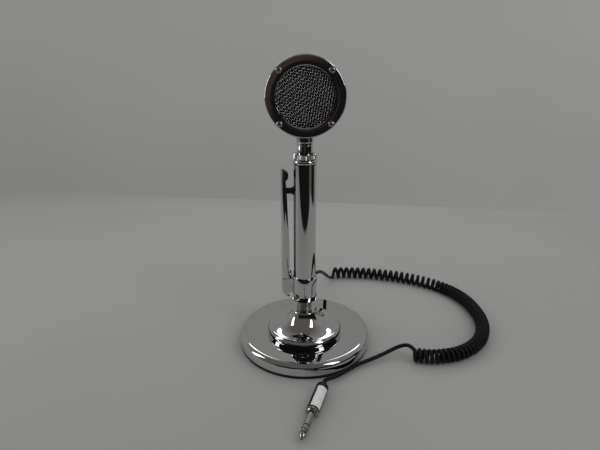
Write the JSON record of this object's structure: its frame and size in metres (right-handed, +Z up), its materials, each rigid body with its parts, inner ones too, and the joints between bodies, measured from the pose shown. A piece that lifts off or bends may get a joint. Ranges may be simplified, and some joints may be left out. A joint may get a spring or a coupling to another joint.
{
  "type": "crystal microphone",
  "caption": "Round chrome desk microphone with a woven grille on a weighted stand, a grip-to-talk bar beside the stem and a coiled cord ending in a quarter-inch plug.",
  "frame": {"origin": "centre of the base's underside, on the surface that the pad stands on", "axes": "+Z up along the stem, -Y out of the face of the head, the grip bar on -X"},
  "size_m": [0.2763, 0.3015, 0.2931],
  "materials": {
    "chrome_plate": "bright chrome plate with fine handling marks",
    "pad_rubber": "black ribbed pad",
    "soft_rubber": "matt black rubber",
    "cord_rubber": "matt black cord jacket",
    "weight_iron": "rough casting, dull",
    "plain_steel": "plain steel, a little dull",
    "spring_black": "blackened spring steel",
    "black_plastic": "black moulding",
    "brown_board": "brown laminated board",
    "plug_nickel": "nickel plate, warm and a little worn",
    "contact_brass": "brass, dulled",
    "wire_sleeve": "insulated hook-up wire",
    "grille_steel": "plated wire, satin",
    "black_cloth": "thin black cloth",
    "can_aluminium": "spun aluminium, satin",
    "crystal_white": "cloudy crystal between foils"
  },
  "bodies": {
    "stand": {"base_pad": "pad_rubber", "base_shell": "chrome_plate", "base_weight": "weight_iron", "base_stud": "plain_steel", "base_nut": "plain_steel", "stem_collar": "chrome_plate", "collar_set_screws": "plain_steel", "stem_tube": "chrome_plate", "tube_cap": "chrome_plate", "head_socket": "brown_board", "socket_contacts": "contact_brass", "bar_pivot_pin": "plain_steel", "return_spring": "spring_black", "plunger_bush": "black_plastic", "switch_bracket": "plug_nickel", "bracket_screw": "contact_brass", "switch_insulators": "brown_board", "fixed_blade": "contact_brass", "blade_tail": "contact_brass", "switch_screws": "contact_brass", "stem_wires": "wire_sleeve", "cord_grommet": "soft_rubber", "cord_crimp": "contact_brass", "cord_lead": "cord_rubber", "cord_coil": "cord_rubber", "cord_tail": "cord_rubber", "plug_boot": "soft_rubber", "plug_handle": "black_plastic", "plug_flange": "plug_nickel", "plug_sleeve": "plug_nickel", "plug_insulators": "black_plastic", "plug_ring": "plug_nickel", "plug_tip": "plug_nickel"},
    "grip_bar": {"grip_bar": "chrome_plate", "bar_bumper": "soft_rubber"},
    "plunger": {"switch_plunger": "black_plastic"},
    "blade": {"moving_blade": "contact_brass"},
    "lock_ring": {"lock_ring": "chrome_plate"},
    "head": {"head_neck": "chrome_plate", "neck_nut": "plug_nickel", "pin_block": "brown_board", "contact_pins": "contact_brass", "head_wires": "wire_sleeve", "head_case": "chrome_plate", "face_ring": "chrome_plate", "face_screws": "chrome_plate", "woven_grille": "grille_steel", "grille_rim": "grille_steel", "grille_cloth": "black_cloth", "cartridge_gasket": "soft_rubber", "cartridge_can": "can_aluminium", "cartridge_guard": "can_aluminium", "diaphragm": "can_aluminium", "crystal_element": "crystal_white", "drive_pin": "contact_brass"}
  },
  "joints": [
    {"name": "bar_grip", "type": "hinge", "parent": "stand", "child": "grip_bar", "pos_m": [-0.0177, 0, 0.0685], "axis": [0, 1, 0], "range_deg": [0, 2.1], "stiffness_Nm_per_rad": 6, "springref_deg": -1.72, "deforming": ["return_spring"]},
    {"name": "plunger_slide", "type": "slide", "parent": "stand", "child": "plunger", "axis": [1, 0, 0], "range_m": [0, 0.0037]},
    {"name": "blade_swing", "type": "hinge", "parent": "stand", "child": "blade", "pos_m": [-0.0077, 0, 0.1319], "axis": [0, 1, 0], "range_deg": [0, 5.9], "stiffness_Nm_per_rad": 0.05, "springref_deg": -1.15},
    {"name": "ring_turn", "type": "hinge", "parent": "stand", "child": "lock_ring", "pos_m": [0, 0, 0.202], "axis": [0, 0, 1], "continuous": true},
    {"name": "head_lift", "type": "slide", "parent": "stand", "child": "head", "axis": [0, 0, 1], "range_m": [0, 0.012]}
  ],
  "couplings": [
    {"joint": "plunger_slide", "follows": "bar_grip", "m_per_rad": 0.0994},
    {"joint": "blade_swing", "follows": "bar_grip", "ratio": 2.761}
  ]
}
